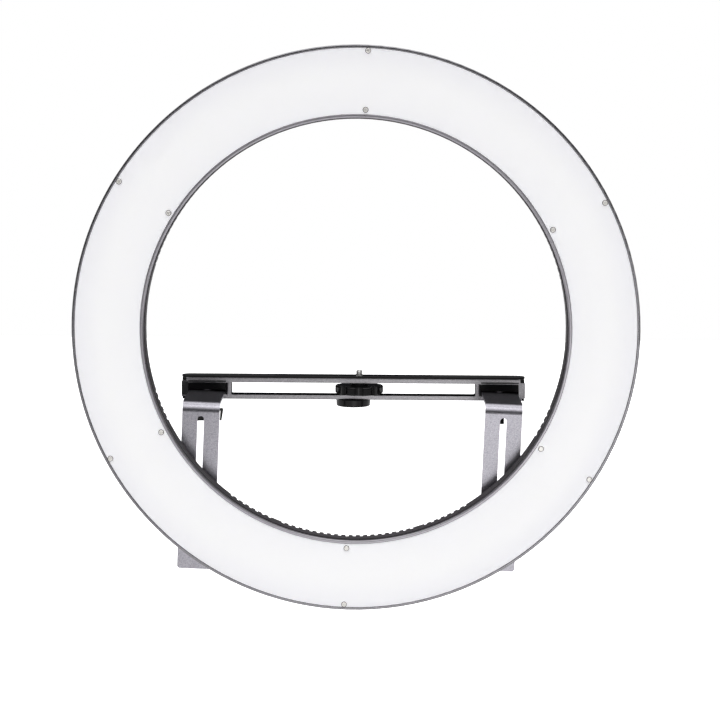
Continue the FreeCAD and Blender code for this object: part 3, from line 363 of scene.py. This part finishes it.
def glass_material():
    """Dark display glass with faint smears."""
    mat, tree, shader = new_material("dark_display_glass")
    where = coords(tree)
    smears = noise(tree, where, 160.0, 4.0, 0.6, (1.0, 1.0, 0.4))
    base = ramp(tree, smears, [(0.3, (0.012, 0.014, 0.018)), (0.8, (0.02, 0.023, 0.03))])
    paint(tree, shader, base, spread(tree, smears, 0.04, 0.12))
    shader.inputs["Coat Weight"].default_value = 0.6
    return mat


def print_material():
    """White ink of the scale marks."""
    mat, tree, shader = new_material("white_ink")
    grain = noise(tree, coords(tree), 2500.0)
    base = ramp(tree, grain, [(0.3, (0.62, 0.62, 0.61)), (0.7, (0.75, 0.75, 0.74))])
    paint(tree, shader, base, spread(tree, grain, 0.5, 0.65))
    return mat


BLACK = (0.012, 0.012, 0.013)
looks = {
    # Ring head
    "rim": metal("satin_rim", (0.21, 0.205, 0.217), 0.24,
                 scale=500.0, vary=0.06, metallic=0.9, strength=0.1),
    "bead": metal("grey_bead", (0.33, 0.317, 0.34), 0.3,
                  scale=700.0, vary=0.06, metallic=0.85, strength=0.1),
    "diffuser": diffuser_material(),
    "nickel_screw": metal("nickel", (0.92, 0.9, 0.86), 0.2,
                          scale=3000.0, vary=0.05, metallic=0.2),
    "black_shell": moulded("black_shell", (0.06, 0.055, 0.06), 0.55,
                           grain=1500.0, depth=0.00004, strength=0.3, vary=0.08, gloss=0.4),
    "white_board": moulded("white_board", (0.8, 0.8, 0.78), 0.5),
    "steel_screw": metal("plain_steel", (0.55, 0.55, 0.55), 0.35),
    "led": moulded("led_phosphor", (0.85, 0.72, 0.3), 0.4),
    "black_lead": rubber("lead_jacket", BLACK),
    "zinc_steel": metal("zinc_plate", (0.66, 0.66, 0.64), 0.27, scale=1800.0, vary=0.1),
    "black_washer": moulded("black_nylon", BLACK, 0.4),
    # Control and power housings
    "black_housing": moulded("housing_black", (0.02, 0.02, 0.021), 0.52,
                             grain=1700.0, depth=0.00008, strength=0.6, vary=0.2),
    "black_panel": moulded("panel_black", (0.028, 0.028, 0.03), 0.4, strength=0.3, vary=0.12),
    "green_board": circuit_material(),
    "dark_glass": glass_material(),
    "black_module": moulded("module_black", (0.022, 0.022, 0.022), 0.45),
    "black_dial": moulded("dial_black", (0.018, 0.018, 0.018), 0.38,
                          grain=2200.0, depth=0.00004, strength=0.4, vary=0.18),
    "grey_button": moulded("button_grey", (0.32, 0.32, 0.33), 0.42),
    "red_rocker": moulded("rocker_red", (0.42, 0.012, 0.012), 0.22,
                          grain=1800.0, depth=0.00002, strength=0.2, vary=0.1, coat=0.3),
    "black_screw": metal("black_oxide", (0.035, 0.035, 0.036), 0.36, scale=2200.0, vary=0.2),
    # Camera bracket
    "grey_coat": powder_coat("sandy_grey_coat", (0.26, 0.252, 0.276), (0.5, 0.486, 0.53), 0.3),
    # Painted shade: the bar's coat is the arms' coat made darker, and black inside the bar and on
    # its left end post
    "grey_bar": powder_coat("sandy_bar_coat_painted_shade", (0.21, 0.204, 0.213), (0.4, 0.389, 0.405), 0.3,
                            bar_shade_mask),
    "black_cap": moulded("cap_black", (0.006, 0.006, 0.0065), 0.42, gloss=0.2),
    "black_rubber": rubber("black_rubber", (0.013, 0.0125, 0.013)),
    "black_adapter": moulded("adapter_black", (0.004, 0.0038, 0.004), 0.2,
                             grain=1500.0, depth=0.00001, strength=0.1, vary=0.15, gloss=0.22),
    "brass_insert": metal("turned_brass", (0.62, 0.45, 0.2), 0.28),
    "black_knob": moulded("knob_black", (0.004, 0.004, 0.0043), 0.2,
                          grain=1900.0, depth=0.00002, strength=0.15, vary=0.2, gloss=0.22),
}

slot_of = {entry["node"]: entry["material_slot"] for entry in frame["record"]["subparts"]}
for name, node in nodes.items():
    node.data.materials.clear()
    node.data.materials.append(looks["grey_bar" if name == "bracket_bar" else slot_of[name]])


# Pieces added to the frame
def piece(name, verts, faces, body, look, smooth=False):
    mesh = bpy.data.meshes.new(name)
    mesh.from_pydata([tuple(v) for v in verts], [], faces)
    mesh.update()
    obj = bpy.data.objects.new(name, mesh)
    scene.collection.objects.link(obj)
    mesh.materials.append(look)
    for polygon in mesh.polygons:
        polygon.use_smooth = smooth
    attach(obj, body)
    return obj


def around(centre, radius, angle, height):
    """Point at a height, on a circle about an upright axis."""
    return centre + Vector((radius * math.cos(angle), radius * math.sin(angle), height))


def lathe(profile, centre):
    """Points and faces of a profile turned about an upright axis."""
    verts = []
    faces = []
    count = len(profile)
    for index in range(TURN_STEPS):
        angle = 2 * math.pi * index / TURN_STEPS
        verts.extend(around(centre, radius, angle, height) for radius, height in profile)
        here = index * count
        after = (index + 1) % TURN_STEPS * count
        for row in range(count - 1):
            faces.append((here + row, after + row, after + row + 1, here + row + 1))
    return verts, faces


def threaded_screw():
    """Camera screw: a helical thread with a bevelled tip, on a plain neck."""
    low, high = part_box("camera_screw")
    centre = Vector(((low.x + high.x) / 2, 0.0, 0.0))
    top = high.z
    verts, faces = lathe([
        (AXIS_GAP, low.z), (NECK_R, low.z), (NECK_R, THREAD_BOTTOM), (ROOT_R, THREAD_BOTTOM),
    ], centre)
    rows = []
    turns = (top - THREAD_BOTTOM) / THREAD_PITCH
    for index in range(int(turns * TURN_STEPS) + 1):
        angle = 2 * math.pi * index / TURN_STEPS
        z = THREAD_BOTTOM + THREAD_PITCH * index / TURN_STEPS
        fade = max(0.0, min(1.0, (top - z - RUN_OUT_END) / RUN_OUT))
        tip = ROOT_R + (CREST_R - ROOT_R) * fade
        row = []
        section = ((ROOT_R, 0.0), (tip, CREST_START), (tip, CREST_END), (ROOT_R, ROOT_START))
        for radius, share in section:
            row.append(len(verts))
            verts.append(around(centre, radius, angle, min(z + THREAD_PITCH * share, top)))
        rows.append(row)
    for first, second in zip(rows, rows[1:]):
        for column in range(3):
            faces.append((first[column], second[column], second[column + 1], first[column + 1]))
    core, core_faces = lathe([
        (ROOT_R, THREAD_BOTTOM), (ROOT_R, top - TIP_CHAMFER), (ROOT_R - TIP_CHAMFER, top),
        (AXIS_GAP, top),
    ], centre)
    start = len(verts)
    verts.extend(core)
    faces.extend(tuple(start + corner for corner in face) for face in core_faces)
    look = looks["zinc_steel"]
    obj = piece("camera_screw_thread", verts, faces, "camera_knob", look, smooth=True)
    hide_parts("camera_screw")


def dial_ticks(name, node, look):
    """Printed scale round a dial: the ticks at the ends and the middle are longer."""
    low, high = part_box(node)
    centre = Vector(((low.x + high.x) / 2, 0.0, (low.z + high.z) / 2))
    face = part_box("control_panel")[1].y + INK_LIFT
    verts = []
    faces = []
    for index in range(TICK_COUNT):
        angle = LEAN + math.radians(TICK_FIRST_DEG + TICK_STEP_DEG * index)
        outer, half = SHORT_OUTER, SHORT_HALF_WIDTH
        if index % LONG_EVERY == 0:
            outer, half = LONG_OUTER, LONG_HALF_WIDTH
        along = Vector((-math.sin(angle), 0.0, math.cos(angle)))
        across = Vector((math.cos(angle), 0.0, math.sin(angle)))
        start = len(verts)
        for reach, side in ((TICK_INNER, -half), (outer, -half), (outer, half), (TICK_INNER, half)):
            point = centre + along * reach + across * side
            verts.append(Vector((point.x, face, point.z)))
        faces.append((start, start + 1, start + 2, start + 3))
    piece(name, verts, faces, "ring_head", look)


def screw_heads(node):
    """The points of a node, grouped by screw."""
    heads = []
    for vertex in nodes[node].data.vertices:
        point = nodes[node].matrix_world @ vertex.co
        for head in heads:
            if (head[0] - point).length < HEAD_REACH:
                head.append(point)
                break
        else:
            heads.append([point])
    return heads


def seat_shade_rings(node, look):
    """Painted shade: a dark flat ring round each face screw's head, in the plane the head stands
    on, where its seat lies in shadow.
    """
    verts = []
    faces = []
    for head in screw_heads(node):
        left = min(p.x for p in head)
        right = max(p.x for p in head)
        x = (left + right) / 2
        y = min(p.y for p in head) + HEAD_STAND
        z = (min(p.z for p in head) + max(p.z for p in head)) / 2
        reach = (right - left) / 2
        start = len(verts)
        for index in range(SEAT_STEPS):
            angle = 2 * math.pi * index / SEAT_STEPS
            aside, upward = math.cos(angle), math.sin(angle)
            for radius in (reach - SEAT_LAP, reach + SEAT_RIM):
                verts.append(Vector((x + radius * aside, y, z + radius * upward)))
        for index in range(SEAT_STEPS):
            first = start + 2 * index
            second = start + 2 * ((index + 1) % SEAT_STEPS)
            faces.append((first, first + 1, second + 1, second))
    piece(node + "_seat_shade", verts, faces, "ring_head", look)


# Painted shade round the face screws' heads, in dark brown
looks_seat_shade = metal("seat_painted_shade", (0.1, 0.085, 0.078), 0.4, scale=2600.0, vary=0.3, metallic=0.6)
looks_ink = print_material()
threaded_screw()
seat_shade_rings("outer_face_screws", looks_seat_shade)
seat_shade_rings("inner_face_screws", looks_seat_shade)
dial_ticks("dimmer_ticks", "dimmer_dial", looks_ink)
dial_ticks("colour_ticks", "colour_dial", looks_ink)


def make_camera():
    """Camera at the photograph's angle."""
    data = bpy.data.cameras.new("camera")
    camera = bpy.data.objects.new("camera", data)
    scene.collection.objects.link(camera)
    level = math.cos(CAMERA_PITCH)
    forward = Vector((
        math.sin(CAMERA_YAW) * level, math.cos(CAMERA_YAW) * level, math.sin(CAMERA_PITCH),
    ))
    right = Vector((math.cos(CAMERA_YAW), -math.sin(CAMERA_YAW), 0.0))
    up = right.cross(forward)
    right_rolled = right * math.cos(CAMERA_ROLL) + up * math.sin(CAMERA_ROLL)
    up_rolled = up * math.cos(CAMERA_ROLL) - right * math.sin(CAMERA_ROLL)
    turn = Matrix((right_rolled, up_rolled, -forward)).transposed().to_4x4()
    camera.matrix_world = Matrix.Translation(Vector(CAMERA_PLACE)) @ turn
    data.lens = CAMERA_LENS
    data.sensor_width = 36.0
    data.clip_start = 0.05
    data.clip_end = 60.0
    scene.camera = camera


# Studio
def floor():
    """Pale floor: plain white to the camera, and a pool of light to glossy surfaces."""
    mesh = bpy.data.meshes.new("floor")
    corners = ((-1, -1), (1, -1), (1, 1), (-1, 1))
    mesh.from_pydata(
        [(x * FLOOR_REACH, y * FLOOR_REACH, FLOOR_LEVEL) for x, y in corners], [], [(0, 1, 2, 3)])
    obj = bpy.data.objects.new("floor", mesh)
    scene.collection.objects.link(obj)
    mat, tree, shader = new_material("pale_floor")
    where = coords(tree)
    patches = noise(tree, where, 2.0, 3.0)
    base = ramp(tree, patches, [(0.3, (0.80, 0.80, 0.80)), (0.7, (0.84, 0.84, 0.84))])
    paint(tree, shader, base, 0.9)
    falloff = spread(tree, distance(tree, where), 0.35, 0.05, 1.5, FLOOR_REACH)
    rays = add(tree, "ShaderNodeLightPath")
    pool = math_node(tree, "MULTIPLY", rays.outputs["Is Glossy Ray"], falloff)
    white = add(tree, "ShaderNodeEmission")
    shown = math_node(tree, "ADD", rays.outputs["Is Camera Ray"], pool)
    tree.links.new(shown, white.inputs["Strength"])
    both = add(tree, "ShaderNodeAddShader")
    tree.links.new(shader.outputs["BSDF"], both.inputs[0])
    tree.links.new(white.outputs["Emission"], both.inputs[1])
    tree.links.new(both.outputs["Shader"], tree.nodes["Material Output"].inputs["Surface"])
    mesh.materials.append(mat)


def world():
    """White to the camera and behind glass; as light, a dim room that is bright overhead."""
    scene.world = bpy.data.worlds.new("studio")
    scene.world.use_nodes = True
    tree = scene.world.node_tree
    overhead = add(tree, "ShaderNodeVectorMath", operation="DOT_PRODUCT")
    overhead.inputs[1].default_value = (0.0, -0.2, 0.98)
    tree.links.new(coords(tree, "Generated"), overhead.inputs[0])
    glow = ramp(tree, overhead.outputs["Value"], [
        (0.0, (0.02, 0.02, 0.023)),
        (0.62, (0.03, 0.03, 0.034)),
        (0.82, (1.3, 1.3, 1.32)),
        (0.93, (2.8, 2.8, 2.83)),
    ])
    light = tree.nodes["Background"]
    tree.links.new(glow, light.inputs["Color"])
    white = add(tree, "ShaderNodeBackground")
    white.inputs["Color"].default_value = (1.0, 1.0, 1.0, 1.0)
    rays = add(tree, "ShaderNodeLightPath").outputs
    seen = math_node(tree, "MAXIMUM", rays["Is Camera Ray"], rays["Is Transmission Ray"])
    pick = add(tree, "ShaderNodeMixShader")
    tree.links.new(seen, pick.inputs["Fac"])
    tree.links.new(light.outputs["Background"], pick.inputs[1])
    tree.links.new(white.outputs["Background"], pick.inputs[2])
    tree.links.new(pick.outputs["Shader"], tree.nodes["World Output"].inputs["Surface"])


def softbox(name, place, target, width, height, power):
    data = bpy.data.lights.new(name, "AREA")
    data.shape = "RECTANGLE"
    data.size = width
    data.size_y = height
    data.energy = power
    obj = bpy.data.objects.new(name, data)
    scene.collection.objects.link(obj)
    obj.location = place
    obj.rotation_mode = "QUATERNION"
    obj.rotation_quaternion = (Vector(target) - Vector(place)).to_track_quat("-Z", "Y")
    obj.visible_camera = False


make_camera()
floor()
world()
softbox("key", (0.38, -3.0, -0.38), PART_MIDDLE, width=0.5, height=0.4, power=1.9)
softbox("low_front", (0.3, -2.9, -0.6), PART_MIDDLE, width=1.4, height=0.7, power=3.7)
for side, x in (("back_left", -2.0), ("back_right", 2.0)):
    softbox(side, (x, 1.5, 1.1), (0.0, -0.05, 0.05), width=1.2, height=1.2, power=8.0)

scene.view_settings.view_transform = "Standard"
